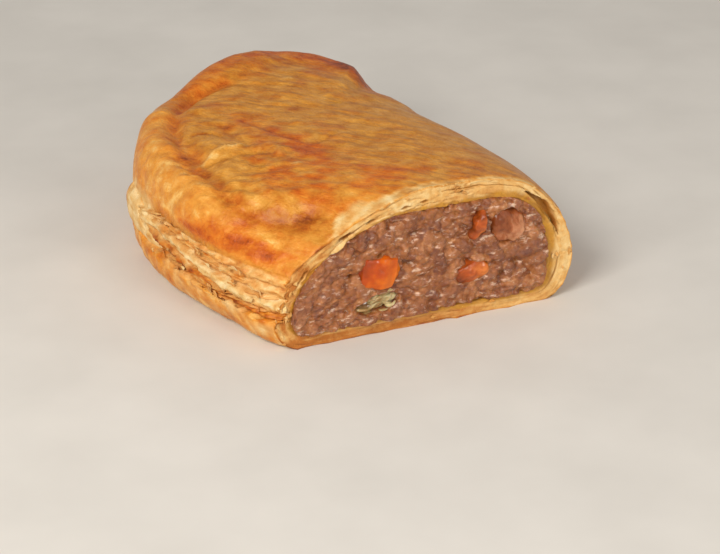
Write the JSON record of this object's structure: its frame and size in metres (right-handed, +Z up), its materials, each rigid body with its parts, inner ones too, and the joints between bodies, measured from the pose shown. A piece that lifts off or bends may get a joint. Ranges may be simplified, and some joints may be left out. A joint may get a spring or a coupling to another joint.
{
  "type": "cut half of a meat and vegetable puff-pastry pasty",
  "caption": "D-shaped puff-pastry pasty cut straight across, with a rounded fold, a flaky sealed edge and a minced meat filling with diced vegetables at the cut.",
  "frame": {"origin": "middle of the bounding box, on the flat base that it rests on", "axes": "+Z up from the base through the lid, +Y from the cut face towards the round end, +X towards the fold"},
  "size_m": [0.1056, 0.1282, 0.0405],
  "materials": {
    "crust": "baked golden puff pastry, satin glaze on top, pale flaky leaves at the edge and the cut",
    "filling": "moist brown minced meat in gravy",
    "carrot": "cooked orange carrot, moist",
    "onion": "cooked translucent onion, moist",
    "lump": "larger lump of moist brown meat"
  },
  "bodies": {
    "root": {"crust": "crust", "filling": "filling", "carrot_large": "carrot", "carrot_upper": "carrot", "carrot_lower": "carrot", "onion_piece": "onion", "meat_lump": "lump"}
  },
  "joints": []
}
